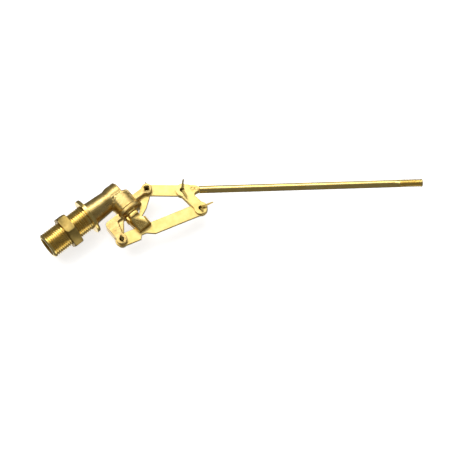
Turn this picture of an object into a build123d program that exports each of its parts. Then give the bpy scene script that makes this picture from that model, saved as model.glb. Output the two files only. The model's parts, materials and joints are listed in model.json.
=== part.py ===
"""Brass float valve: half-inch pipe inlet, angle body and a compound lever that lifts the plunger.

Frame, in millimetres: X runs along the inlet, from the pipe into the tank. Z is up and the outlet
points down. The linkage works in the plane Y = 0. The origin is the centre of the flange's bearing
face, which rests against the tank wall.
"""
from build123d import *
import os
from math import atan2, cos, degrees, hypot, radians, sin

# Inlet stem: pipe thread for the supply, then lock thread for the jam nut, both at their crests.
STEM_LENGTH = 39.0
PIPE_THREAD_R = 10.65
LOCK_THREAD_R = 10.45
PIPE_THREAD_LENGTH = 17.0
THREAD_CHAMFER = 1.2
MOUTH_R = 7.6
MOUTH_DEPTH = 20.0
WATERWAY_R = 6.0
WATERWAY_END_X = 32.6
CUT_MARGIN = 1.0

# Flange and cast tube.
FLANGE_R = 15.0
FLANGE_THICKNESS = 3.0
TUBE_ROOT_R = 10.2
TUBE_START_R = 9.5
TUBE_WAIST_R = 8.5
TUBE_HEAD_R = 9.5
TUBE_END_X = 34.5
TUBE_ROOT_LENGTH = 3.0
TUBE_WAIST_X = 22.1
TUBE_HEAD_X = 25.6
TUBE_END_CHAMFER_X = 1.2
TUBE_END_CHAMFER_R = 1.6

# Outlet, which hangs below the end of the tube.
OUTLET_X = 30.1
OUTLET_R = 10.0
OUTLET_TOP_Z = -2.0
OUTLET_SHOULDER_R = 2.2
RIM_R = 11.2
RIM_HEIGHT = 3.9
RIM_Z = -19.3
RIM_CHAMFER = 1.0
RIM_ROUNDING = 0.5
CHAMBER_R = 8.2
CHAMBER_TOP_Z = -8.0
SEAT_HOLE_R = 5.5
SEAT_HOLE_TOP_Z = -4.0
OUTLET_AXIS = Axis((OUTLET_X, 0, 0), (0, 0, 1))

# Linkage pivots in the plane Y = 0, as (X, Z), with the valve fully open and the arm hanging.
UPPER_LUG = (51.4, -12.6)
LOWER_LUG = (9.9, -33.4)
CRANK_UPPER = (73.0, -30.8)
CRANK_LOWER = (74.9, -52.1)
PIN_R = 1.55
PIN_HOLE_R = 1.6
LOOSE_HOLE_R = 2.05

# Lugs are forks, and the levers run in their slots.
LUG_HALF_THICKNESS = 5.0
LUG_BOSS_R = 4.4
SLOT_HALF_WIDTH = 1.35
SLOT_REACH = 5.5
SLOT_CLEARANCE = 0.4
SLOT_TOP_Z = -4.0
LOWER_LUG_OUTER_X = 6.7
LOWER_LUG_ROOT_X = 16.4
LOWER_LUG_TIP_X = 13.4
LOWER_LUG_TIP_Z = -30.0
LOWER_LUG_OUTER_R = 3.0
WEB_FOOT = (13.1, -31.9)
WEB_TOP_X = 22.3
WEB_HALF_THICKNESS = 2.6
LUG_BURIAL = 2.5
LOWER_LUG_BAR_Z = (-20.0, -15.0)
UPPER_LUG_BAR_Z = (-14.8, -9.6)
WALL_SLOT_TOP_Z = -12.4

# Strip levers.
LEVER_HALF_WIDTH = 4.8
LINK_HALF_WIDTH = 5.3
STRIP_HALF_THICKNESS = 1.0
NOSE_ROOT_R = 4.0
NOSE = [((45.4, -17.6), 3.4), ((40.2, -21.9), 2.9), ((35.3, -25.7), 1.5), ((31.8, -26.4), 2.1)]
NOTCH_START = 13.6
NOTCH_STEP = 2.6
NOTCH_ROOF_LENGTH = 4.0
NOTCH_END = 26.5
NOTCH_DEPTH = 3.3

# Seat and plunger. The stroke is what the lever's nose lifts over the float arm's travel.
STROKE = 5.65
SHUT_GAP = 0.1
SEAT_LIP_Z = -9.8
SEAT_FLANGE_R = 6.8
SEAT_FLANGE_THICKNESS = 1.2
SEAT_THREAD_CLEARANCE = 0.02
SEAT_TOP_Z = -4.6
SEAT_LIP_WALL = 1.2
ORIFICE_R = 3.4
WASHER_TOP_Z = SEAT_LIP_Z - SHUT_GAP - STROKE
WASHER_R = 6.2
WASHER_THICKNESS = 2.6
WASHER_PROUD = 0.5
WASHER_CLEARANCE = 0.05
PLUNGER_R = 7.9
HEAD_HEIGHT = 3.6
HEAD_CHAMFER = 0.8
NECK_R = 6.6
NECK_HEIGHT = 1.4
COLLAR_BOTTOM_Z = -25.2
FOOT_R = 7.3
FOOT_HALF_Y = 6.0
FOOT_FRONT_X = 6.3
FOOT_BACK_X = 5.5
FOOT_BOTTOM_Z = -37.4
FOOT_SLOT_ROOF_Z = -23.9
NOSE_WINDOW_X = 3.3
NOSE_WINDOW_BOTTOM_Z = -29.8
NOSE_WINDOW_ROOF = 0.5
FLUTE_R = 2.0
FLUTE_OFFSET = 0.9
SCREW_R = 1.5
SCREW_HEAD_R = 2.7
SCREW_HEAD_HEIGHT = 1.3
SCREW_HEAD_ROUNDING = 0.78
DRIVER_SLOT_WIDTH = 0.8
DRIVER_SLOT_DEPTH = 0.6
SCREW_TIP_Z = -22.6

# Crank plates, one each side of the levers, and the float rod they grip.
CRANK_INNER_Y = 1.3
CRANK_OUTER_Y = 2.8
CRANK_LOBE_R = 5.4
CRANK_NECK_R = 4.1
CRANK_BLEND_R = 2.0
CRANK_TAB_R = 3.0
CRANK_TAB_LENGTH = 11.0
CRANK_TAB_GAP = 0.1
ROD_ROOT = (84.2, -38.5)
ROD_SLOPE = -37.5
ROD_R = 3.0
ROD_THREAD_R = 3.175
ROD_LENGTH = 178.6
ROD_THREAD_LENGTH = 18.5
ROD_CHAMFER = 0.6
TANG_LENGTH = 7.4
TANG_HALF_HEIGHT = 2.6
TANG_BURIAL = 0.5
RIVET_R = 1.1
RIVET_SETBACKS = (2.4, 5.4)

# Jam nut on the stem.
NUT_CENTRE_X = -17.5
NUT_THICKNESS = 8.0
NUT_ACROSS_FLATS = 26.0
NUT_BORE_R = 10.7
NUT_CHAMFER = 1.5
NUT_CORNER_TRIM = 0.2
NUT_TURN = -7.5

# Split cotter pins.
COTTER_EYE_R = 2.0
COTTER_WIRE_R = 0.8
COTTER_CLEARANCE = 0.9
NEAR = -1
FAR = 1


def revolved(points, axis):
    """A solid of revolution from a closed outline of (X, Z) points."""
    return revolve(Plane.XZ * make_face(Polyline(*points, close=True)), axis)


def disc(centre_x, radius, bottom_z, top_z):
    """An upright cylinder centred on (centre_x, 0)."""
    return Pos(centre_x, 0, (bottom_z + top_z) / 2) * Cylinder(radius, top_z - bottom_z)


def block(x_range, y_range, z_range):
    """A box from its three (low, high) ranges."""
    lengths = [high - low for low, high in (x_range, y_range, z_range)]
    middle = [(high + low) / 2 for low, high in (x_range, y_range, z_range)]
    return Pos(*middle) * Box(*lengths)


def tapered_arm(start, start_r, end, end_r):
    """A flat outline that joins two round ends."""
    start_circle = Pos(*start) * Circle(start_r)
    end_circle = Pos(*end) * Circle(end_r)
    return make_hull([*start_circle.edges(), *end_circle.edges()])


def plate(outline, low_y, high_y):
    """A flat outline in (X, Z), given thickness from low_y to high_y."""
    return Pos(0, high_y, 0) * extrude(Plane.XZ * outline, high_y - low_y)


def cross_pin(centre, radius, low_y, high_y):
    """A round bar along Y through an (X, Z) point."""
    return plate(Pos(*centre) * Circle(radius), low_y, high_y)


def along(start, angle, distance):
    """The (X, Z) point at a distance and an angle in degrees from another one."""
    return (start[0] + distance * cos(radians(angle)), start[1] + distance * sin(radians(angle)))


def inlet_outline():
    """Half outline of the stem, flange and tube, turned about the X axis."""
    pipe_end = -STEM_LENGTH
    thread_change = pipe_end + PIPE_THREAD_LENGTH
    return [
        (pipe_end, 0),
        (pipe_end, PIPE_THREAD_R - THREAD_CHAMFER),
        (pipe_end + THREAD_CHAMFER, PIPE_THREAD_R),
        (thread_change, PIPE_THREAD_R),
        (thread_change, LOCK_THREAD_R),
        (0, LOCK_THREAD_R),
        (0, FLANGE_R),
        (FLANGE_THICKNESS, FLANGE_R),
        (FLANGE_THICKNESS, TUBE_ROOT_R),
        (FLANGE_THICKNESS + TUBE_ROOT_LENGTH, TUBE_START_R),
        (TUBE_WAIST_X, TUBE_WAIST_R),
        (TUBE_HEAD_X, TUBE_HEAD_R),
        (TUBE_END_X - TUBE_END_CHAMFER_X, TUBE_HEAD_R),
        (TUBE_END_X, TUBE_HEAD_R - TUBE_END_CHAMFER_R),
        (TUBE_END_X, 0),
    ]


def outlet_casting():
    """The round outlet with its rounded shoulder and the bead round its rim."""
    barrel = disc(OUTLET_X, OUTLET_R, RIM_Z, OUTLET_TOP_Z)
    barrel = fillet(barrel.edges().group_by(Axis.Z)[-1], OUTLET_SHOULDER_R)
    rim = disc(OUTLET_X, RIM_R, RIM_Z, RIM_Z + RIM_HEIGHT)
    rim = chamfer(rim.edges().group_by(Axis.Z)[-1], RIM_CHAMFER)
    return barrel + fillet(rim.edges().group_by(Axis.Z)[0], RIM_ROUNDING)


def lower_lug():
    """A fork that reaches out from the outlet towards the inlet, then down to its pivot, with a thin web."""
    left = LOWER_LUG_OUTER_X
    bar_bottom, bar_top = LOWER_LUG_BAR_Z
    half = LUG_HALF_THICKNESS
    barrel_x = OUTLET_X - OUTLET_R + LUG_BURIAL
    outline = make_face(
        Polyline(
            (left, LOWER_LUG[1]),
            (left, bar_top),
            (barrel_x, bar_top),
            (barrel_x, bar_bottom),
            (LOWER_LUG_ROOT_X, bar_bottom),
            (LOWER_LUG_TIP_X, LOWER_LUG_TIP_Z),
            (LOWER_LUG_TIP_X, LOWER_LUG[1]),
            close=True,
        )
    )
    fork = plate(outline, -half, half)
    outer_corner = fork.edges().filter_by(Axis.Y).sort_by_distance((left, 0, bar_top))[0]
    fork = fillet(outer_corner, LOWER_LUG_OUTER_R)
    web = make_face(
        Polyline(WEB_FOOT, (WEB_TOP_X, bar_bottom), (LOWER_LUG_OUTER_X, bar_bottom), close=True)
    )
    fork += plate(web, -WEB_HALF_THICKNESS, WEB_HALF_THICKNESS)
    return fork + cross_pin(LOWER_LUG, LUG_BOSS_R, -half, half)


def upper_lug():
    """A bar that reaches from the outlet into the tank, ending in a round boss."""
    half = LUG_HALF_THICKNESS
    bar = block((OUTLET_X + OUTLET_R - LUG_BURIAL, UPPER_LUG[0]), (-half, half), UPPER_LUG_BAR_Z)
    return bar + cross_pin(UPPER_LUG, LUG_BOSS_R, -half, half)


def lug_slots():
    """The slots the levers swing in, with the one that lets the nose through the outlet wall."""
    gap = (-SLOT_HALF_WIDTH, SLOT_HALF_WIDTH)
    lower_x = (LOWER_LUG[0] - 2 * SLOT_REACH, LOWER_LUG[0] + 2 * SLOT_REACH)
    lower = block(lower_x, gap, (LOWER_LUG[1] - SLOT_REACH, LOWER_LUG[1] + SLOT_REACH))
    outside = OUTLET_X + OUTLET_R + SLOT_CLEARANCE
    upper = block((outside, UPPER_LUG[0] + SLOT_REACH), gap, (UPPER_LUG[1] - SLOT_REACH, SLOT_TOP_Z))
    wall_x = (OUTLET_X + CHAMBER_R - CUT_MARGIN, outside + CUT_MARGIN)
    wall = block(wall_x, gap, (RIM_Z - CUT_MARGIN, WALL_SLOT_TOP_Z))
    return lower + upper + wall


def bore_from_inlet(radius, depth):
    """The tool for a round bore that runs in from the stem's open end."""
    return Pos(depth / 2 - STEM_LENGTH, 0, 0) * Rot(0, 90, 0) * Cylinder(radius, depth)


def valve_body():
    """The casting: stem, flange, tube, outlet and both lugs."""
    casting = revolved(inlet_outline(), Axis.X) + outlet_casting() + lower_lug() + upper_lug()
    casting -= bore_from_inlet(WATERWAY_R, WATERWAY_END_X + STEM_LENGTH)
    casting -= bore_from_inlet(MOUTH_R, MOUTH_DEPTH)
    casting -= disc(OUTLET_X, CHAMBER_R, RIM_Z - CUT_MARGIN, CHAMBER_TOP_Z)
    casting -= disc(OUTLET_X, SEAT_HOLE_R, CHAMBER_TOP_Z - CUT_MARGIN, SEAT_HOLE_TOP_Z)
    casting -= lug_slots()
    half_length = LUG_HALF_THICKNESS + CUT_MARGIN
    for pivot in (UPPER_LUG, LOWER_LUG):
        casting -= cross_pin(pivot, PIN_HOLE_R, -half_length, half_length)
    return casting


def jam_nut():
    """A hexagon nut with chamfered corners, on the stem."""
    outline = RegularPolygon(NUT_ACROSS_FLATS / 2, 6, major_radius=False)
    hexagon = extrude(outline, NUT_THICKNESS / 2, both=True)
    corner_r = NUT_ACROSS_FLATS / 2 / cos(radians(30))
    blank = Cylinder(corner_r - NUT_CORNER_TRIM, NUT_THICKNESS)
    blank = chamfer(blank.edges().filter_by(GeomType.CIRCLE), NUT_CHAMFER, NUT_CHAMFER / 2)
    nut = (hexagon & blank) - Cylinder(NUT_BORE_R, NUT_THICKNESS + CUT_MARGIN)
    return Pos(NUT_CENTRE_X, 0, 0) * Rot(NUT_TURN, 0, 0) * Rot(0, 90, 0) * nut


def orifice_seat():
    """The screwed-in nozzle that the washer shuts against."""
    flange_bottom = CHAMBER_TOP_Z - SEAT_FLANGE_THICKNESS
    nozzle = disc(OUTLET_X, SEAT_HOLE_R - SEAT_THREAD_CLEARANCE, flange_bottom, SEAT_TOP_Z)
    flange = disc(OUTLET_X, SEAT_FLANGE_R, flange_bottom, CHAMBER_TOP_Z)
    lip = disc(OUTLET_X, ORIFICE_R + SEAT_LIP_WALL, SEAT_LIP_Z, flange_bottom)
    return nozzle + flange + lip - disc(OUTLET_X, ORIFICE_R, SEAT_LIP_Z - CUT_MARGIN, 0)


def plunger():
    """A turned plunger: cup for the washer, groove, collar, and a forked foot astride the lower link."""
    cup_top = WASHER_TOP_Z - WASHER_PROUD
    head_bottom = cup_top - HEAD_HEIGHT
    shoulder = head_bottom - NECK_HEIGHT
    outline = [
        (OUTLET_X, cup_top),
        (OUTLET_X + PLUNGER_R, cup_top),
        (OUTLET_X + PLUNGER_R, head_bottom + HEAD_CHAMFER),
        (OUTLET_X + PLUNGER_R - HEAD_CHAMFER, head_bottom),
        (OUTLET_X + NECK_R, head_bottom),
        (OUTLET_X + NECK_R, shoulder),
        (OUTLET_X + PLUNGER_R, shoulder - PLUNGER_R + NECK_R),
        (OUTLET_X + PLUNGER_R, COLLAR_BOTTOM_Z),
        (OUTLET_X + FOOT_R, COLLAR_BOTTOM_Z),
        (OUTLET_X + FOOT_R, FOOT_BOTTOM_Z),
        (OUTLET_X, FOOT_BOTTOM_Z),
    ]
    foot = make_face(
        Polyline(
            (OUTLET_X - FOOT_R, COLLAR_BOTTOM_Z),
            (OUTLET_X - FOOT_BACK_X, FOOT_BOTTOM_Z),
            (OUTLET_X + FOOT_FRONT_X, FOOT_BOTTOM_Z),
            (OUTLET_X + FOOT_FRONT_X, COLLAR_BOTTOM_Z),
            close=True,
        )
    )
    wide_x = (OUTLET_X - 2 * PLUNGER_R, OUTLET_X + 2 * PLUNGER_R)
    wide_y = (-2 * PLUNGER_R, 2 * PLUNGER_R)
    envelope = plate(foot, -FOOT_HALF_Y, FOOT_HALF_Y) + block(wide_x, wide_y, (COLLAR_BOTTOM_Z, 0))
    solid = revolved(outline, OUTLET_AXIS) & envelope
    solid -= disc(OUTLET_X, WASHER_R + WASHER_CLEARANCE, WASHER_TOP_Z - WASHER_THICKNESS, 0)
    solid -= disc(OUTLET_X, SCREW_R, SCREW_TIP_Z, 0)
    slot_z = (FOOT_BOTTOM_Z - CUT_MARGIN, FOOT_SLOT_ROOF_Z)
    solid -= block(wide_x, (-SLOT_HALF_WIDTH, SLOT_HALF_WIDTH), slot_z)
    window_z = (NOSE_WINDOW_BOTTOM_Z, head_bottom - NOSE_WINDOW_ROOF)
    solid -= block((OUTLET_X + NOSE_WINDOW_X, wide_x[1]), wide_y, window_z)
    flute_middle = (cup_top + COLLAR_BOTTOM_Z) / 2
    for quarter in range(4):
        flute_x, flute_y = along((OUTLET_X, 0), 45 + 90 * quarter, PLUNGER_R + FLUTE_OFFSET)
        solid -= Pos(flute_x, flute_y, flute_middle) * Cylinder(FLUTE_R, cup_top - COLLAR_BOTTOM_Z)
    return solid


def seat_washer():
    """The rubber disc in the plunger's cup."""
    bottom = WASHER_TOP_Z - WASHER_THICKNESS
    screw_hole = disc(OUTLET_X, SCREW_R, bottom - CUT_MARGIN, WASHER_TOP_Z + CUT_MARGIN)
    return disc(OUTLET_X, WASHER_R, bottom, WASHER_TOP_Z) - screw_hole


def washer_screw():
    """The round-headed screw that holds the washer."""
    head_top = WASHER_TOP_Z + SCREW_HEAD_HEIGHT
    head = disc(OUTLET_X, SCREW_HEAD_R, WASHER_TOP_Z, head_top)
    head = fillet(head.edges().group_by(Axis.Z)[-1], SCREW_HEAD_ROUNDING)
    slot_x = (OUTLET_X - SCREW_HEAD_R, OUTLET_X + SCREW_HEAD_R)
    slot_y = (-DRIVER_SLOT_WIDTH / 2, DRIVER_SLOT_WIDTH / 2)
    head -= block(slot_x, slot_y, (head_top - DRIVER_SLOT_DEPTH, head_top + CUT_MARGIN))
    return head + disc(OUTLET_X, SCREW_R, SCREW_TIP_Z, WASHER_TOP_Z)


def upper_lever():
    """The bell crank: one arm to the crank plates, and a bent nose that lifts the plunger."""
    outline = tapered_arm(UPPER_LUG, LEVER_HALF_WIDTH, CRANK_UPPER, LEVER_HALF_WIDTH)
    joints = [(UPPER_LUG, NOSE_ROOT_R), *NOSE]
    for (start, start_r), (end, end_r) in zip(joints, joints[1:]):
        outline += tapered_arm(start, start_r, end, end_r)
    outline -= Pos(*UPPER_LUG) * Circle(PIN_HOLE_R)
    outline -= Pos(*CRANK_UPPER) * Circle(LOOSE_HOLE_R)
    return plate(outline, -STRIP_HALF_THICKNESS, STRIP_HALF_THICKNESS)


def lower_link():
    """The strip from the lower lug to the crank plates, with a notch in its lower edge."""
    length = hypot(CRANK_LOWER[0] - LOWER_LUG[0], CRANK_LOWER[1] - LOWER_LUG[1])
    strip = tapered_arm((0, 0), LINK_HALF_WIDTH, (length, 0), LINK_HALF_WIDTH)
    notch_top = -LINK_HALF_WIDTH + NOTCH_DEPTH
    notch = Polyline(
        (NOTCH_START, -LINK_HALF_WIDTH - CUT_MARGIN),
        (NOTCH_START + NOTCH_STEP, notch_top),
        (NOTCH_START + NOTCH_STEP + NOTCH_ROOF_LENGTH, notch_top),
        (NOTCH_END, -LINK_HALF_WIDTH),
        (NOTCH_END, -LINK_HALF_WIDTH - CUT_MARGIN),
        close=True,
    )
    strip -= make_face(notch)
    for hole_x in (0, length):
        strip -= Pos(hole_x, 0) * Circle(PIN_HOLE_R)
    slope = degrees(atan2(CRANK_LOWER[1] - LOWER_LUG[1], CRANK_LOWER[0] - LOWER_LUG[0]))
    strip = Pos(*LOWER_LUG) * Rot(0, 0, slope) * strip
    return plate(strip, -STRIP_HALF_THICKNESS, STRIP_HALF_THICKNESS)


def crank_outline():
    """A dog-bone between the two pivots with a tab out to the float rod."""
    outline = tapered_arm(CRANK_UPPER, CRANK_NECK_R, CRANK_LOWER, CRANK_NECK_R)
    outline += Pos(*CRANK_UPPER) * Circle(CRANK_LOBE_R)
    outline += Pos(*CRANK_LOWER) * Circle(CRANK_LOBE_R)
    tab_start = along(ROD_ROOT, ROD_SLOPE, -CRANK_TAB_LENGTH)
    tab_end = along(ROD_ROOT, ROD_SLOPE, -CRANK_TAB_R - CRANK_TAB_GAP)
    outline += tapered_arm(tab_start, CRANK_NECK_R, tab_end, CRANK_TAB_R)
    rounded = offset(offset(outline, CRANK_BLEND_R), -CRANK_BLEND_R)
    for pivot in (CRANK_UPPER, CRANK_LOWER):
        rounded -= Pos(*pivot) * Circle(PIN_HOLE_R)
    for setback in RIVET_SETBACKS:
        rounded -= Pos(*along(ROD_ROOT, ROD_SLOPE, -setback)) * Circle(RIVET_R)
    return rounded


def crank_plate(low_y, high_y):
    """One of the two matching crank plates."""
    return plate(crank_outline(), low_y, high_y)


def crank_rivets():
    """Flush rivets through both plates and the rod's tang."""
    rivets = []
    for setback in RIVET_SETBACKS:
        centre = along(ROD_ROOT, ROD_SLOPE, -setback)
        rivets.append(cross_pin(centre, RIVET_R, -CRANK_OUTER_Y, CRANK_OUTER_Y))
    return Compound(rivets)


def float_rod():
    """A round rod with a flat tang at the crank and a thread for the float at its far end."""
    thread_start = ROD_LENGTH - ROD_THREAD_LENGTH
    outline = [
        (0, 0),
        (0, ROD_R),
        (thread_start, ROD_R),
        (thread_start, ROD_THREAD_R),
        (ROD_LENGTH - ROD_CHAMFER, ROD_THREAD_R),
        (ROD_LENGTH, ROD_THREAD_R - ROD_CHAMFER),
        (ROD_LENGTH, 0),
    ]
    rod = revolved(outline, Axis.X)
    tang_y = (-CRANK_INNER_Y, CRANK_INNER_Y)
    rod += block((-TANG_LENGTH, TANG_BURIAL), tang_y, (-TANG_HALF_HEIGHT, TANG_HALF_HEIGHT))
    for setback in RIVET_SETBACKS:
        rod -= cross_pin((-setback, 0), RIVET_R, -ROD_R, ROD_R)
    return Pos(ROD_ROOT[0], 0, ROD_ROOT[1]) * Rot(0, -ROD_SLOPE, 0) * rod


def cotter(pivot, eye_side, face_y, eye_turn, legs):
    """A split cotter: eye beyond one face, and legs bent back over the other, as (angle, length)."""
    leg_y = -eye_side * (face_y + COTTER_CLEARANCE)
    eye_y = eye_side * (face_y + COTTER_EYE_R + COTTER_WIRE_R)
    ends = sorted((leg_y, eye_side * (face_y + COTTER_WIRE_R)))
    pin = cross_pin(pivot, PIN_R, ends[0], ends[1])
    pin += Pos(pivot[0], eye_y, pivot[1]) * Rot(0, eye_turn, 0) * Torus(COTTER_EYE_R, COTTER_WIRE_R)
    for angle, length in legs:
        leg = Pos(length / 2, 0, 0) * Rot(0, 90, 0) * Cylinder(COTTER_WIRE_R, length)
        pin += Pos(pivot[0], leg_y, pivot[1]) * Rot(0, -angle, 0) * leg
    return pin


parts = {
    "valve_body": valve_body(),
    "jam_nut": jam_nut(),
    "orifice_seat": orifice_seat(),
    "plunger": plunger(),
    "seat_washer": seat_washer(),
    "washer_screw": washer_screw(),
    "upper_lever": upper_lever(),
    "lower_link": lower_link(),
    "crank_plate_near": crank_plate(-CRANK_OUTER_Y, -CRANK_INNER_Y),
    "crank_plate_far": crank_plate(CRANK_INNER_Y, CRANK_OUTER_Y),
    "crank_rivets": crank_rivets(),
    "float_rod": float_rod(),
    "upper_lug_cotter": cotter(UPPER_LUG, NEAR, LUG_HALF_THICKNESS, 30, [(58, 10.0), (180, 7.0)]),
    "lower_lug_cotter": cotter(LOWER_LUG, NEAR, LUG_HALF_THICKNESS, 60, [(80, 7.0), (-20, 7.0)]),
    "crank_upper_cotter": cotter(CRANK_UPPER, FAR, CRANK_OUTER_Y, 20, [(44, 8.1), (-98, 7.9)]),
    "crank_lower_cotter": cotter(CRANK_LOWER, FAR, CRANK_OUTER_Y, 50, [(-20, 10.5), (-98, 3.4)]),
}

os.makedirs("parts", exist_ok=True)
for name, shape in parts.items():
    export_step(shape, f"parts/{name}.step")
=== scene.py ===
"""Looks of a brass tank float valve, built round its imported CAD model.

Lengths are in metres, in the CAD frame: X along the inlet into the tank, Z up, linkage in the plane Y = 0.
The valve lies on its side on a white table, which is the plane behind it.
"""
import json
from math import cos, pi, radians, sin, tan, tau

import bmesh
import bpy
import numpy as np
from mathutils import Matrix, Vector, noise
from mathutils.geometry import tessellate_polygon


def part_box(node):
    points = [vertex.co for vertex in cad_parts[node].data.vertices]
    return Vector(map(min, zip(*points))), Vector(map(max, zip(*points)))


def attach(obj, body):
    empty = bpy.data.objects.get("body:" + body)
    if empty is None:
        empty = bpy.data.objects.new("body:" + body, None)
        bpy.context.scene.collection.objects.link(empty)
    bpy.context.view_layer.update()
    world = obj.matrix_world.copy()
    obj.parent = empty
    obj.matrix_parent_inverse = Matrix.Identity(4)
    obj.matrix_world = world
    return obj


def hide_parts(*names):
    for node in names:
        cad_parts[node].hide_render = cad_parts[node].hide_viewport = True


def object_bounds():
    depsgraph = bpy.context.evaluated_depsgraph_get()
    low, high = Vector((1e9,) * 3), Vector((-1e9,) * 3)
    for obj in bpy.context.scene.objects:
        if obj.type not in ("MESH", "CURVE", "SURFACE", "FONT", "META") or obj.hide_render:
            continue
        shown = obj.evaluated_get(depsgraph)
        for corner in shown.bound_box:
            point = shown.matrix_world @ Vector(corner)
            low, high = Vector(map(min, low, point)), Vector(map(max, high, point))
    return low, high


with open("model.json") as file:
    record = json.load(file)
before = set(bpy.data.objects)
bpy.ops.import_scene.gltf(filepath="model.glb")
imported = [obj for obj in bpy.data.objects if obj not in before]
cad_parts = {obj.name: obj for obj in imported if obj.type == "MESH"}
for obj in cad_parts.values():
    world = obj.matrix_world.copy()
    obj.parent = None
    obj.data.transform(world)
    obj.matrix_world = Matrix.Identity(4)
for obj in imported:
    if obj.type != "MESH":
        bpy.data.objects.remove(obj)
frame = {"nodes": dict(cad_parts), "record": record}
cad_low, cad_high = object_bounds()
record = frame["record"]
MM = 0.001

# Threads: half-inch pipe thread on the stem, quarter-inch 20 on the rod.
PIPE_PITCH = 1.814 * MM
PIPE_DEPTH = 0.85 * MM
ROD_PITCH = 1.27 * MM
ROD_DEPTH = 0.5 * MM
STEPS_PER_TURN = 10
CREST_SHARE = 0.34
ROOT_SHARE = 0.16
RUN_OUT = 1.5

# Stem and rod, where their finer shapes go past what the record states.
BORE_R = 6.05 * MM
MOUTH_R = 7.6 * MM
MOUTH_DEPTH = 20 * MM
MOUTH_LEAD = 0.7 * MM
STEM_CHAMFER = 1.2 * MM
FLANGE_EDGE = 0.35 * MM
SPIGOT_R = 9.9 * MM
SPIGOT_LENGTH = 0.4 * MM
ROD_R = 3.0 * MM
ROD_SLOPE = -37.5
ROD_THREAD_LENGTH = 18.5 * MM
ROD_STATIONS = 40
TANG_HALF_HEIGHT = 2.6 * MM
TANG_HALF_WIDTH = 1.3 * MM
TANG_BURIAL = 0.6 * MM
TANG_EDGE = 0.3 * MM
NUDGE = 0.05 * MM

# Edge rounding and casting texture.
SHEET_EDGE = 0.42 * MM
SUPPORT_LOOP = 0.06 * MM
TURNED_EDGE = 0.22 * MM
CAST_VOXEL = 0.28 * MM
CAST_SMOOTHING = 3
CAST_GRAIN = 0.035 * MM
CAST_WAVINESS = 0.07 * MM
TOOL_RIDGE_PITCH = 1.1 * MM
TOOL_RIDGE_DEPTH = 0.10 * MM
SEAM_WIDTH = 1.3 * MM
SEAM_HEIGHT = 0.6 * MM
SEAM_LUMP = 1.1 * MM
SEAM_TOP_Z = -2.0 * MM
TUBE_R = 9.5 * MM
BARREL_R = 10.0 * MM
RIDGED_R = (9.6 * MM, 10.5 * MM)

# Camera: its axes in the CAD frame, and the point it looks at.
VIEW_RIGHT = Vector((0.773, 0.0, -0.635))
VIEW_UP = Vector((0.597, -0.342, 0.726))
VIEW_POINT = Vector((82.2, 3.5, -78.4)) * MM
VIEW_DISTANCE = 1.5
VIEW_WIDTH = 363.5 * MM
LIGHT_DISTANCE = 2.0
LIT_POINT = Vector((30, 0, -20)) * MM
TABLE_HALF_SIZE = 3.0
TABLE_GAP = 0.1 * MM
SENSOR_MM = 36.0


def mount(name):
    """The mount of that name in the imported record."""
    return next(m for m in record["mounts"] if m["name"] == name)


# ---------------------------------------------------------------- mesh tools


def cad_bmesh(node):
    """A welded copy of a CAD node's mesh, to work on."""
    bm = bmesh.new()
    bm.from_mesh(frame["nodes"][node].data)
    bmesh.ops.remove_doubles(bm, verts=bm.verts, dist=0.001 * MM)
    return bm


def to_mesh(bm, name):
    """Turns a bmesh into a mesh with outward normals."""
    bmesh.ops.recalc_face_normals(bm, faces=bm.faces)
    mesh = bpy.data.meshes.new(name)
    bm.to_mesh(mesh)
    bm.free()
    return mesh


def shade(mesh, sharp_angle=35):
    """Smooth shading with creases where faces meet at more than an angle in degrees."""
    mesh.shade_smooth()
    mesh.set_sharp_from_angle(angle=radians(sharp_angle))


def new_object(name, mesh):
    """An object in the scene that holds a mesh."""
    piece = bpy.data.objects.new(name, mesh)
    bpy.context.scene.collection.objects.link(piece)
    return piece


def baked(piece):
    """Applies an object's modifiers to its mesh."""
    graph = bpy.context.evaluated_depsgraph_get()
    mesh = bpy.data.meshes.new_from_object(piece.evaluated_get(graph))
    piece.modifiers.clear()
    piece.data = mesh
    return mesh


def stand_for(piece, node, body, material):
    """Puts a piece in a CAD node's place on a body, with its material."""
    piece.data.materials.clear()
    piece.data.materials.append(material)
    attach(piece, body)
    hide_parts(node)


def thread_profile(turns):
    """Depth of a thread from 0 on its flat crests to 1 in its flat roots, at a number of turns along it."""
    from_crest = np.abs((turns + 0.5) % 1.0 - 0.5) * 2
    return np.clip((from_crest - CREST_SHARE) / (1 - CREST_SHARE - ROOT_SHARE), 0, 1)


def thread_stations(start, end, radius, pitch, depth):
    """Stations (x, radius, pitch, depth) along a thread, which fades in and out at its ends."""
    count = int((end - start) / pitch * STEPS_PER_TURN)
    stations = []
    for x in np.linspace(start, end, count + 1):
        fade = min(1.0, (x - start) / pitch, (end - x) / pitch / RUN_OUT)
        stations.append((x, radius, pitch, depth * max(0.0, fade)))
    return stations


def turned(name, stations, sides, closed):
    """A mesh turned about X from stations (x, radius, pitch, depth). A closed one is a ring with a bore."""
    angles = np.linspace(0, tau, sides, endpoint=False)
    bm = bmesh.new()
    rings = []
    for x, radius, pitch, depth in stations:
        radii = np.full(sides, radius)
        if depth > 0:
            radii -= depth * thread_profile(x / pitch - angles / tau)
        rings.append([bm.verts.new((x, r * cos(a), r * sin(a))) for r, a in zip(radii, angles)])
    pairs = list(zip(rings, rings[1:]))
    if closed:
        pairs.append((rings[-1], rings[0]))
    for ring, following in pairs:
        for i in range(sides):
            j = (i + 1) % sides
            bm.faces.new((ring[i], ring[j], following[j], following[i]))
    if not closed:
        bm.faces.new(rings[0])
        bm.faces.new(rings[-1])
    return to_mesh(bm, name)


# ---------------------------------------------------------------- sheet parts


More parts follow.
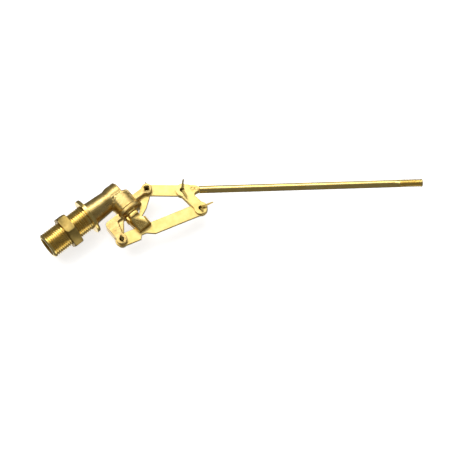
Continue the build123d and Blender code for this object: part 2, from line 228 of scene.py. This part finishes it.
def front_loops(bm):
    """The outlines of a plate's front face, each a list of (x, z) points, outer one first."""
    front_y = min(v.co.y for v in bm.verts)
    front = {f for f in bm.faces if all(abs(v.co.y - front_y) < 0.001 * MM for v in f.verts)}
    following = {}
    for face in front:
        for loop in face.loops:
            if not any(f in front for f in loop.edge.link_faces if f is not face):
                following[loop.vert] = loop.link_loop_next.vert
    loops = []
    while following:
        vert = next(iter(following))
        points = []
        while vert in following:
            points.append(Vector((vert.co.x, vert.co.z)))
            vert = following.pop(vert)
        loops.append(points)
    return sorted(loops, key=lambda points: -abs(signed_area(points)))


def signed_area(points):
    """Area of a closed outline, positive when it runs anticlockwise."""
    return sum(a.cross(b) for a, b in zip(points, points[1:] + points[:1])) / 2


def inset(points, distance):
    """An outline moved to its left by a distance."""
    moved = []
    for before, here, after in zip(points[-1:] + points[:-1], points, points[1:] + points[:1]):
        into, out = (here - before).normalized(), (after - here).normalized()
        left = Vector((-into.y - out.y, into.x + out.x)).normalized()
        widen = max(0.5, left.dot(Vector((-into.y, into.x))))
        moved.append(here + left * distance / widen)
    return moved


def rounded_plate(name, node, edge, segments=3):
    """A sheet-metal part with the CAD node's outline and rounded edges."""
    bm = cad_bmesh(node)
    loops = front_loops(bm)
    low_y, high_y = min(v.co.y for v in bm.verts), max(v.co.y for v in bm.verts)
    bm.free()
    loops = [p if (signed_area(p) > 0) == (i == 0) else p[::-1] for i, p in enumerate(loops)]
    quarter = [k / segments * pi / 2 for k in range(segments + 1)]
    levels = [(edge + SUPPORT_LOOP, low_y)]
    levels += [(edge * (1 - sin(a)), low_y + edge * (1 - cos(a))) for a in quarter]
    levels += [(edge * (1 - sin(a)), high_y - edge * (1 - cos(a))) for a in reversed(quarter)]
    levels += [(edge + SUPPORT_LOOP, high_y)]
    bm = bmesh.new()
    caps = ([], [])
    for points in loops:
        rings = []
        for distance, y in levels:
            rings.append([bm.verts.new((p.x, y, p.y)) for p in inset(points, distance)])
        for ring, behind in zip(rings, rings[1:]):
            for i in range(len(ring)):
                j = (i + 1) % len(ring)
                bm.faces.new((ring[i], ring[j], behind[j], behind[i]))
        caps[0].append(rings[0])
        caps[1].append(rings[-1])
    for rings in caps:
        flat = [vert for ring in rings for vert in ring]
        outlines = [[Vector((v.co.x, v.co.z, 0)) for v in ring] for ring in rings]
        for triangle in tessellate_polygon(outlines):
            bm.faces.new([flat[i] for i in triangle])
    mesh = to_mesh(bm, name)
    shade(mesh, 50)
    return new_object(name, mesh)


def bevelled_copy(name, node, edge):
    """A copy of a CAD node with its sharp edges rounded."""
    bm = cad_bmesh(node)
    bmesh.ops.dissolve_limit(bm, angle_limit=radians(1), verts=bm.verts, edges=bm.edges)
    piece = new_object(name, to_mesh(bm, name))
    bevel = piece.modifiers.new("edges", "BEVEL")
    bevel.width = edge
    bevel.segments = 2
    bevel.limit_method = "ANGLE"
    bevel.angle_limit = radians(30)
    shade(baked(piece), 40)
    return piece


# ---------------------------------------------------------------- valve body


def flange_thickness():
    """Depth of the flange along X. Its top is the highest place on the body."""
    mesh = frame["nodes"]["valve_body"].data
    return max(v.co.x for v in mesh.vertices if v.co.z > cad_high.z - 0.01 * MM)


def cast_part():
    """The body behind the flange, with soft corners, foundry grain and tool ridges round the outlet."""
    cut_x = flange_thickness() + NUDGE
    bm = cad_bmesh("valve_body")
    everything = bm.verts[:] + bm.edges[:] + bm.faces[:]
    cut = bmesh.ops.bisect_plane(
        bm, geom=everything, plane_co=(cut_x, 0, 0), plane_no=(-1, 0, 0), clear_outer=True
    )
    rim = [e for e in cut["geom_cut"] if isinstance(e, bmesh.types.BMEdge)]
    bmesh.ops.triangle_fill(bm, edges=rim, use_beauty=True)
    piece = new_object("valve_body_cast", to_mesh(bm, "valve_body_cast"))
    remesh = piece.modifiers.new("grid", "REMESH")
    remesh.mode = "VOXEL"
    remesh.voxel_size = CAST_VOXEL
    smooth = piece.modifiers.new("soften", "SMOOTH")
    smooth.factor = 0.5
    smooth.iterations = CAST_SMOOTHING
    mesh = baked(piece)
    roughen(mesh)
    shade(mesh, 80)
    return piece


def crease_bead(places, axis_x):
    """Height of the lumpy seam where the tube meets the outlet barrel, which begins below the tube's axis."""
    off_tube = np.abs(np.hypot(places[:, 1], places[:, 2]) - TUBE_R)
    off_barrel = np.abs(np.hypot(places[:, 0] - axis_x, places[:, 1]) - BARREL_R)
    near = np.clip(1 - (off_tube + off_barrel) / SEAM_WIDTH, 0, 1) * (places[:, 2] < SEAM_TOP_Z)
    lumps = np.array([0.5 + noise.noise(Vector(place) / SEAM_LUMP) for place in places])
    return SEAM_HEIGHT * near * np.clip(lumps, 0, 1)


def roughen(mesh):
    """Moves a casting's surface in and out: foundry grain, slow waves, the seam, and ridges on the outlet."""
    seat_low, seat_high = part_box("orifice_seat")
    axis_x = (seat_low.x + seat_high.x) / 2
    ridge_top = seat_low.z
    count = len(mesh.vertices)
    places = np.empty(count * 3, np.float32)
    normals = np.empty(count * 3, np.float32)
    mesh.vertices.foreach_get("co", places)
    mesh.vertex_normals.foreach_get("vector", normals)
    places, normals = places.reshape(-1, 3), normals.reshape(-1, 3)
    shifts = np.empty(count, np.float32)
    for i, place in enumerate(places):
        at = Vector(place) / MM
        shifts[i] = CAST_GRAIN * noise.noise(at * 1.6) + CAST_WAVINESS * noise.noise(at * 0.22)
    outward = np.hypot(places[:, 0] - axis_x, places[:, 1])
    shifts += crease_bead(places, axis_x)
    on_ridges = (outward > RIDGED_R[0]) & (outward < RIDGED_R[1]) & (places[:, 2] < ridge_top)
    wave = 0.5 + 0.5 * np.cos(places[:, 2] / TOOL_RIDGE_PITCH * tau)
    shifts -= TOOL_RIDGE_DEPTH * wave * on_ridges
    mesh.vertices.foreach_set("co", (places + normals * shifts[:, None]).ravel())
    mesh.update()


def machined_part():
    """The threaded stem and the flange, bored through."""
    start = cad_low.x
    mouth_end = start + MOUTH_DEPTH
    pipe_r = mount("inlet_thread")["dims"]["r_mm"] * MM
    crest_r = pipe_r - NUDGE
    root_r = pipe_r - PIPE_DEPTH
    flange_r = cad_high.z
    back = flange_thickness()
    spigot_end = back + SPIGOT_LENGTH
    stations = [
        (spigot_end, BORE_R, 0, 0),
        (mouth_end + 1.0 * MM, BORE_R, 0, 0),
        (mouth_end, MOUTH_R - 0.2 * MM, 0, 0),
        (mouth_end - 0.2 * MM, MOUTH_R, 0, 0),
        (start + MOUTH_LEAD, MOUTH_R, 0, 0),
        (start + 0.1 * MM, MOUTH_R + 0.6 * MM, 0, 0),
        (start, MOUTH_R + 0.8 * MM, 0, 0),
        (start, crest_r - STEM_CHAMFER - 0.1 * MM, 0, 0),
        (start + 0.1 * MM, crest_r - STEM_CHAMFER, 0, 0),
        (start + STEM_CHAMFER / 2, crest_r - STEM_CHAMFER / 2, 0, 0),
    ]
    stations += thread_stations(start + STEM_CHAMFER, -0.5 * MM, crest_r, PIPE_PITCH, PIPE_DEPTH)
    stations += [
        (-0.4 * MM, root_r, 0, 0),
        (0, root_r, 0, 0),
        (0, flange_r - FLANGE_EDGE, 0, 0),
        (0.3 * FLANGE_EDGE, flange_r - 0.3 * FLANGE_EDGE, 0, 0),
        (FLANGE_EDGE, flange_r, 0, 0),
        (back - FLANGE_EDGE, flange_r, 0, 0),
        (back - 0.3 * FLANGE_EDGE, flange_r - 0.3 * FLANGE_EDGE, 0, 0),
        (back, flange_r - FLANGE_EDGE, 0, 0),
        (back, SPIGOT_R, 0, 0),
        (spigot_end, SPIGOT_R, 0, 0),
    ]
    mesh = turned("valve_body_stem", stations, sides=160, closed=True)
    shade(mesh, 32)
    return new_object("valve_body_stem", mesh)


# ---------------------------------------------------------------- float rod


def float_rod():
    """The rod with its rolled thread, and the flat tang that the crank plates grip."""
    thread = mount("float_thread")
    axis = Vector(thread["axis"]).normalized()
    vertices = [v.co for v in frame["nodes"]["float_rod"].data.vertices]
    along = [v.dot(axis) for v in vertices]
    middle = Vector(thread["pos_m"])
    centre_line = middle - axis * middle.dot(axis)
    crest_r = thread["dims"]["r_mm"] * MM
    off_axis = [(v - centre_line - axis * d).length for v, d in zip(vertices, along)]
    root = min(d for d, r in zip(along, off_axis) if abs(r - ROD_R) < NUDGE)
    tip = max(along)
    thread_start = tip - ROD_THREAD_LENGTH
    plain = np.linspace(root + 1 * MM, thread_start - 0.3 * MM, ROD_STATIONS)
    stations = [(root, 1.9 * MM, 0, 0), (root + 0.05 * MM, 2.7 * MM, 0, 0), (root + 0.4 * MM, ROD_R, 0, 0)]
    stations += [(x, ROD_R, 0, 0) for x in plain]
    stations += thread_stations(thread_start, tip - 0.6 * MM, crest_r, ROD_PITCH, ROD_DEPTH)
    stations += [(tip - 0.1 * MM, crest_r - 0.7 * MM, 0, 0), (tip, crest_r - 1.0 * MM, 0, 0)]
    mesh = turned("float_rod_round", stations, sides=48, closed=False)
    side = Vector((0, 1, 0))
    mesh.transform(Matrix((axis, side, axis.cross(side))).transposed().to_4x4())
    mesh.transform(Matrix.Translation(centre_line))
    shade(mesh, 32)
    return new_object("float_rod_round", mesh), tang(axis, centre_line, min(along), root)


def tang(axis, centre_line, start, root):
    """The flattened end of the rod, between the crank plates."""
    bm = bmesh.new()
    corners = bmesh.ops.create_cube(bm, size=2)["verts"]
    length = root + TANG_BURIAL - start
    for vert in corners:
        lengthwise = start + (vert.co.x + 1) / 2 * length
        height = axis.cross(Vector((0, 1, 0))) * vert.co.z * TANG_HALF_HEIGHT
        sideways = Vector((0, vert.co.y * TANG_HALF_WIDTH, 0))
        vert.co = centre_line + axis * lengthwise + sideways + height
    bmesh.ops.bevel(bm, geom=bm.edges[:], offset=TANG_EDGE, segments=2, affect="EDGES", profile=0.5)
    mesh = to_mesh(bm, "float_rod_tang")
    shade(mesh)
    return new_object("float_rod_tang", mesh)


# ---------------------------------------------------------------- split cotters

WIRE_R = 0.85 * MM
SHANK_R = 1.42 * MM
EYE_R = 1.5 * MM
EYE_GAP = 0.6 * MM
EYE_SWEEP = 150
EYE_SEARCH_DEPTH = 2.0 * MM
LEG_BEND_R = 1.0 * MM
LEG_OFFSET = 0.15 * MM
LEG_STANDOFF = 1.6 * MM
LEG_TILT = 12
ARC_STEPS = 8


def in_plane(angle):
    """The unit vector at an angle in degrees in the linkage's plane."""
    return Vector((cos(radians(angle)), 0, sin(radians(angle))))


def pin_centre(node, eye_side):
    """The cotter's own axis, as a point at Y = 0, found from its eye."""
    low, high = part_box(node)
    limit = (high.y if eye_side > 0 else low.y) - eye_side * EYE_SEARCH_DEPTH
    vertices = [v.co for v in frame["nodes"][node].data.vertices]
    eye = [v for v in vertices if (v.y - limit) * eye_side > 0]
    middle_x = (min(v.x for v in eye) + max(v.x for v in eye)) / 2
    middle_z = (min(v.z for v in eye) + max(v.z for v in eye)) / 2
    return Vector((middle_x, 0, middle_z))


def half_wire_path(centre, face_y, eye_side, eye_angle, side, leg_angle, leg_length):
    """Samples (place, round-side direction, radius) along one half of a cotter, from eye to leg tip."""
    out = Vector((0, eye_side, 0))
    across = in_plane(eye_angle) * side
    samples = []
    eye_centre = centre + out * (face_y + EYE_R + WIRE_R + EYE_GAP)
    for step in range(ARC_STEPS + 1):
        turn = step / ARC_STEPS * radians(EYE_SWEEP)
        away = out * cos(turn) + across * sin(turn)
        samples.append((eye_centre + away * EYE_R, away, WIRE_R))
    leg = in_plane(leg_angle)
    for share in (0.0, 0.25, 0.5, 0.75, 1.0):
        place = centre + out * (face_y - EYE_GAP) * (1 - 2 * share)
        direction = (across * (1 - share) + leg * share).normalized()
        samples.append((place, direction, SHANK_R))
    bend_start = face_y + LEG_STANDOFF - LEG_BEND_R
    bend_centre = centre - out * bend_start + leg * (LEG_BEND_R + LEG_OFFSET)
    last_turn = radians(90 - LEG_TILT)
    for step in range(ARC_STEPS + 1):
        turn = step / ARC_STEPS * last_turn
        towards = -leg * cos(turn) - out * sin(turn)
        samples.append((bend_centre + towards * LEG_BEND_R, -towards, WIRE_R))
    start, facing, _ = samples[-1]
    run = leg * sin(last_turn) - out * cos(last_turn)
    for share in (0.35, 0.7, 0.93, 1.0):
        narrow = WIRE_R * (1 - 0.35 * share**2) * (0.55 if share == 1.0 else 1.0)
        samples.append((start + run * leg_length * share, facing, narrow))
    return samples


def half_round_wire(bm, samples, segments=8):
    """Sweeps a D-shaped section, flat side on the path, along the samples."""
    places = [place for place, _, _ in samples]
    rings = []
    for i, (place, facing, radius) in enumerate(samples):
        tangent = (places[min(i + 1, len(places) - 1)] - places[max(i - 1, 0)]).normalized()
        facing = (facing - tangent * facing.dot(tangent)).normalized()
        width = tangent.cross(facing)
        ring = []
        for k in range(segments + 1):
            turn = k / segments * pi
            ring.append(bm.verts.new(place + width * radius * cos(turn) + facing * radius * sin(turn)))
        rings.append(ring)
    count = segments + 1
    for ring, following in zip(rings, rings[1:]):
        for i in range(count):
            j = (i + 1) % count
            bm.faces.new((ring[i], ring[j], following[j], following[i]))
    bm.faces.new(rings[0])
    bm.faces.new(rings[-1])


def cotter(node, eye_side, face_y, eye_angle, legs):
    """A split cotter: two half-round wires that meet in an eye, with their legs bent back."""
    centre = pin_centre(node, eye_side)
    bm = bmesh.new()
    for side, (leg_angle, leg_length) in zip((1, -1), legs):
        samples = half_wire_path(centre, face_y, eye_side, eye_angle, side, leg_angle, leg_length)
        half_round_wire(bm, samples)
    mesh = to_mesh(bm, node + "_wire")
    shade(mesh, 50)
    return new_object(node + "_wire", mesh)


# ---------------------------------------------------------------- materials


class Nodes:
    """A short way to add shader nodes and join them."""

    def __init__(self, name):
        self.material = bpy.data.materials.new(name)
        self.material.use_nodes = True
        self.tree = self.material.node_tree
        self.shader = self.tree.nodes["Principled BSDF"]
        self.place = self.add("ShaderNodeTexCoord").outputs["Object"]

    def add(self, kind, **settings):
        """A new node with its properties set."""
        node = self.tree.nodes.new(kind)
        for key, value in settings.items():
            setattr(node, key, value)
        return node

    def join(self, source, target):
        """Links an output to an input."""
        self.tree.links.new(source, target)

    def stretched(self, scales, turn=(0, 0, 0)):
        """Object coordinates in millimetres, scaled and turned, for grain that runs one way."""
        mapping = self.add("ShaderNodeMapping")
        mapping.inputs["Scale"].default_value = [s / MM for s in scales]
        mapping.inputs["Rotation"].default_value = turn
        self.join(self.place, mapping.inputs["Vector"])
        return mapping.outputs["Vector"]

    def noise(self, vector, scale, detail=4.0, roughness=0.55):
        """Noise from 0 to 1."""
        node = self.add("ShaderNodeTexNoise")
        node.inputs["Scale"].default_value = scale
        node.inputs["Detail"].default_value = detail
        node.inputs["Roughness"].default_value = roughness
        self.join(vector, node.inputs["Vector"])
        return node.outputs["Fac"]

    def spread(self, value, low, high, to_low=0.0, to_high=1.0):
        """Maps a range of values onto another one, and clamps it."""
        node = self.add("ShaderNodeMapRange")
        for key, number in (("From Min", low), ("From Max", high), ("To Min", to_low), ("To Max", to_high)):
            node.inputs[key].default_value = number
        self.join(value, node.inputs["Value"])
        return node.outputs["Result"]

    def blend(self, share, first, second):
        """A mix of two colours, each a tuple or an output."""
        node = self.add("ShaderNodeMix", data_type="RGBA")
        for socket, colour in ((node.inputs[6], first), (node.inputs[7], second)):
            if isinstance(colour, tuple):
                socket.default_value = (*colour, 1)
            else:
                self.join(colour, socket)
        self.join(share, node.inputs[0])
        return node.outputs[2]

    def bump(self, height, distance, strength, under=None):
        """A bump from a height, on top of another one."""
        node = self.add("ShaderNodeBump")
        node.inputs["Strength"].default_value = strength
        node.inputs["Distance"].default_value = distance
        self.join(height, node.inputs["Height"])
        if under:
            self.join(under, node.inputs["Normal"])
        return node.outputs["Normal"]


def brass(name, light, dark, stain_and_shade, roughness, grain, grain_depth, stain_share=0.35, painted_shade_and_highlight=False):
    """Worked brass: two tones, brown staining in patches, and grain with its own direction.

    On dense meshes only, it can also paint shade into its hollows in the stain colour, and paint a highlight
    along its edges in the light tone.
    """
    n = Nodes(name)
    even = n.stretched((1, 1, 1))
    tone = n.spread(n.noise(even, 0.16, 5), 0.35, 0.65)
    colour = n.blend(tone, dark, light)
    patches = n.spread(n.noise(even, 0.45, 6, 0.65), 0.52, 0.72, 0, stain_share)
    colour = n.blend(patches, colour, stain_and_shade)
    if painted_shade_and_highlight:
        # Painted shade in the hollows and painted highlight along the edges, both from the mesh's pointiness.
        pointiness = n.add("ShaderNodeNewGeometry").outputs["Pointiness"]
        colour = n.blend(n.spread(pointiness, 0.40, 0.48, 0.6, 0), colour, stain_and_shade)
        colour = n.blend(n.spread(pointiness, 0.52, 0.60, 0, 0.6), colour, light)
    n.join(colour, n.shader.inputs["Base Color"])
    streaks = n.noise(n.stretched(*grain), 1.0, 5, 0.6)
    low, high = roughness
    n.join(n.spread(streaks, 0.3, 0.7, low, high), n.shader.inputs["Roughness"])
    fine = n.bump(streaks, grain_depth, 0.8)
    dents = n.bump(n.noise(even, 0.7, 3), 0.05 * MM, 0.25, fine)
    n.join(dents, n.shader.inputs["Normal"])
    n.shader.inputs["Metallic"].default_value = 1.0
    return n.material


def rubber():
    """Black washer rubber with a dusty bloom."""
    n = Nodes("washer_rubber")
    even = n.stretched((1, 1, 1))
    cloud = n.spread(n.noise(even, 0.8, 5), 0.35, 0.7)
    n.join(n.blend(cloud, (0.012, 0.012, 0.012), (0.05, 0.048, 0.045)), n.shader.inputs["Base Color"])
    n.join(n.spread(cloud, 0, 1, 0.55, 0.8), n.shader.inputs["Roughness"])
    n.join(n.bump(n.noise(even, 5.0, 4), 0.03 * MM, 0.5), n.shader.inputs["Normal"])
    return n.material


# Brown for real stain patches, also used as painted shade in the hollows of the pointiness-shaded brass.
STAIN_AND_SHADE = (0.22, 0.11, 0.015)
ALONG_X = ((0.05, 2.5, 2.5),)
ROUND_X = ((3.5, 0.12, 0.12),)
ROUND_Z = ((0.15, 0.15, 3.0),)
EVEN = ((2.2, 2.2, 2.2),)
ALONG_ROD = ((0.04, 3.0, 3.0), (0, radians(ROD_SLOPE), 0))

cast_brass = brass(
    "cast_brass", (0.84, 0.63, 0.25), (0.66, 0.46, 0.15), STAIN_AND_SHADE, (0.24, 0.36), ROUND_Z, 0.05 * MM, painted_shade_and_highlight=True
)
machined = brass(
    "machined_brass",
    (0.97, 0.76, 0.28),
    (0.90, 0.65, 0.18),
    STAIN_AND_SHADE,
    (0.16, 0.28),
    ROUND_X,
    0.02 * MM,
    painted_shade_and_highlight=True,
)
nut_brass = brass(
    "nut_brass", (0.50, 0.36, 0.11), (0.36, 0.25, 0.07), STAIN_AND_SHADE, (0.34, 0.48), ALONG_X, 0.03 * MM
)
turned_brass = brass(
    "turned_brass", (0.90, 0.66, 0.22), (0.74, 0.50, 0.14), STAIN_AND_SHADE, (0.16, 0.30), ROUND_Z, 0.02 * MM
)
sheet_brass = brass(
    "sheet_brass", (0.92, 0.72, 0.28), (0.84, 0.62, 0.20), STAIN_AND_SHADE, (0.28, 0.38), EVEN, 0.02 * MM, 0.10
)
rod_brass = brass(
    "rod_brass", (0.95, 0.74, 0.28), (0.88, 0.65, 0.20), STAIN_AND_SHADE, (0.14, 0.24), ALONG_ROD, 0.02 * MM, 0.10
)
# The cotter wires get a much darker copy of brass: painted shade, for pins that sit in shade.
wire_brass = brass(
    "wire_brass", (0.42, 0.31, 0.10), (0.22, 0.15, 0.04), STAIN_AND_SHADE, (0.30, 0.46), EVEN, 0.03 * MM
)
washer_rubber = rubber()


# ---------------------------------------------------------------- the valve

stem = machined_part()
stand_for(stem, "valve_body", "valve_body", machined)
casting = cast_part()
stand_for(casting, "valve_body", "valve_body", cast_brass)

nut = bevelled_copy("jam_nut_hex", "jam_nut", TURNED_EDGE)
stand_for(nut, "jam_nut", "jam_nut", nut_brass)
lift = bevelled_copy("plunger_turned", "plunger", TURNED_EDGE)
stand_for(lift, "plunger", "plunger", turned_brass)

for node, body in (
    ("upper_lever", "upper_lever"),
    ("lower_link", "lower_link"),
    ("crank_plate_near", "float_arm"),
    ("crank_plate_far", "float_arm"),
):
    plate = rounded_plate(node + "_sheet", node, SHEET_EDGE)
    stand_for(plate, node, body, sheet_brass)

for piece in float_rod():
    stand_for(piece, "float_rod", "float_arm", rod_brass)

LUG_FACE = 5.0 * MM
CRANK_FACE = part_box("crank_plate_far")[1].y
NEAR, FAR = -1, 1
for node, body, side, face, eye_angle, legs in (
    ("upper_lug_cotter", "valve_body", NEAR, LUG_FACE, -30, ((58, 10.0 * MM), (180, 7.0 * MM))),
    ("lower_lug_cotter", "valve_body", NEAR, LUG_FACE, 77, ((80, 7.0 * MM), (-20, 7.0 * MM))),
    ("crank_upper_cotter", "float_arm", FAR, CRANK_FACE, -20, ((44, 7.4 * MM), (-98, 7.2 * MM))),
    ("crank_lower_cotter", "float_arm", FAR, CRANK_FACE, -50, ((-20, 9.8 * MM), (-98, 2.6 * MM))),
):
    stand_for(cotter(node, side, face, eye_angle, legs), node, body, wire_brass)

for node, material in (
    ("orifice_seat", turned_brass),
    ("washer_screw", turned_brass),
    ("crank_rivets", sheet_brass),
    ("seat_washer", washer_rubber),
):
    for slot in frame["nodes"][node].material_slots:
        slot.material = material


# ---------------------------------------------------------------- table, light and camera


def table():
    """A white table just behind the valve. It is see-through from its back, so views from there stay open."""
    bm = bmesh.new()
    bmesh.ops.create_grid(bm, x_segments=1, y_segments=1, size=TABLE_HALF_SIZE)
    mesh = bpy.data.meshes.new("table")
    bm.to_mesh(mesh)
    bm.free()
    mesh.transform(Matrix.Rotation(pi / 2, 4, "X"))
    surface = new_object("table", mesh)
    surface.location = (VIEW_POINT.x, cad_high.y + TABLE_GAP, VIEW_POINT.z)
    for ray in ("diffuse", "glossy", "shadow", "transmission"):
        setattr(surface, "visible_" + ray, False)
    n = Nodes("table_white")
    n.shader.inputs["Base Color"].default_value = (0.85, 0.85, 0.86, 1)
    n.shader.inputs["Roughness"].default_value = 0.8
    n.shader.inputs["Specular IOR Level"].default_value = 0.0
    n.shader.inputs["Emission Color"].default_value = (1, 1, 1, 1)
    n.shader.inputs["Emission Strength"].default_value = 0.74
    clear = n.add("ShaderNodeBsdfTransparent")
    choose = n.add("ShaderNodeMixShader")
    n.join(n.add("ShaderNodeNewGeometry").outputs["Backfacing"], choose.inputs["Fac"])
    n.join(n.shader.outputs["BSDF"], choose.inputs[1])
    n.join(clear.outputs["BSDF"], choose.inputs[2])
    n.join(choose.outputs["Shader"], n.tree.nodes["Material Output"].inputs["Surface"])
    mesh.materials.append(n.material)


def softbox(name, direction, half_angles, brightness):
    """A light that faces the valve, placed by (right, up, towards the camera) of the camera's view.

    Half angles are in degrees, and its width runs the way the stem does. Brightness is the radiance at
    its surface.
    """
    right, up, towards = direction
    line = (VIEW_RIGHT * right + VIEW_UP * up + VIEW_RIGHT.cross(VIEW_UP) * towards).normalized()
    along = (Vector((1, 0, 0)) - line * line.x).normalized()
    turn = Matrix((along, line.cross(along), line)).transposed()
    width, height = (2 * LIGHT_DISTANCE * tan(radians(angle)) for angle in half_angles)
    light = bpy.data.lights.new(name, "AREA")
    light.shape = "RECTANGLE"
    light.size, light.size_y = width, height
    light.energy = brightness * pi * width * height
    lamp = bpy.data.objects.new(name, light)
    bpy.context.scene.collection.objects.link(lamp)
    lamp.matrix_world = Matrix.Translation(LIT_POINT + line * LIGHT_DISTANCE) @ turn.to_4x4()
    lamp.visible_camera = False


def surroundings():
    """A white background for the camera, and a dim grey room for everything else."""
    world = bpy.data.worlds.new("studio")
    bpy.context.scene.world = world
    world.use_nodes = True
    tree = world.node_tree
    room = tree.nodes["Background"]
    room.inputs["Color"].default_value = (1.0, 0.97, 0.92, 1)
    room.inputs["Strength"].default_value = 0.16
    white = tree.nodes.new("ShaderNodeBackground")
    white.inputs["Color"].default_value = (1, 1, 1, 1)
    choose = tree.nodes.new("ShaderNodeMixShader")
    seen = tree.nodes.new("ShaderNodeLightPath")
    tree.links.new(seen.outputs["Is Camera Ray"], choose.inputs["Fac"])
    tree.links.new(room.outputs["Background"], choose.inputs[1])
    tree.links.new(white.outputs["Background"], choose.inputs[2])
    tree.links.new(choose.outputs["Shader"], tree.nodes["World Output"].inputs["Surface"])


def camera():
    """A long lens that looks at the lying valve from nearly straight above the table."""
    data = bpy.data.cameras.new("camera")
    data.sensor_width = SENSOR_MM
    data.lens = SENSOR_MM * VIEW_DISTANCE / VIEW_WIDTH
    data.clip_start, data.clip_end = 0.05, 20
    cam = bpy.data.objects.new("camera", data)
    bpy.context.scene.collection.objects.link(cam)
    back = VIEW_RIGHT.cross(VIEW_UP).normalized()
    right = VIEW_RIGHT.normalized()
    turn = Matrix((right, back.cross(right), back)).transposed()
    cam.matrix_world = Matrix.Translation(VIEW_POINT + back * VIEW_DISTANCE) @ turn.to_4x4()
    bpy.context.scene.camera = cam


table()
surroundings()
softbox("key", (-0.30, 0.42, 0.85), (33, 14), 0.95)
softbox("top", (-0.36, 0.70, 0.62), (34, 10), 3.2)
softbox("upper_right", (0.20, 0.93, 0.25), (22, 26), 1.0)
softbox("lower_right", (0.75, -0.65, -0.14), (26, 14), 1.3)
softbox("back", (0.35, 0.60, -0.72), (22, 16), 0.8)
softbox("bounce", (-0.34, -0.26, -0.90), (18, 18), 1.0)
camera()
bpy.context.scene.view_settings.view_transform = "Standard"
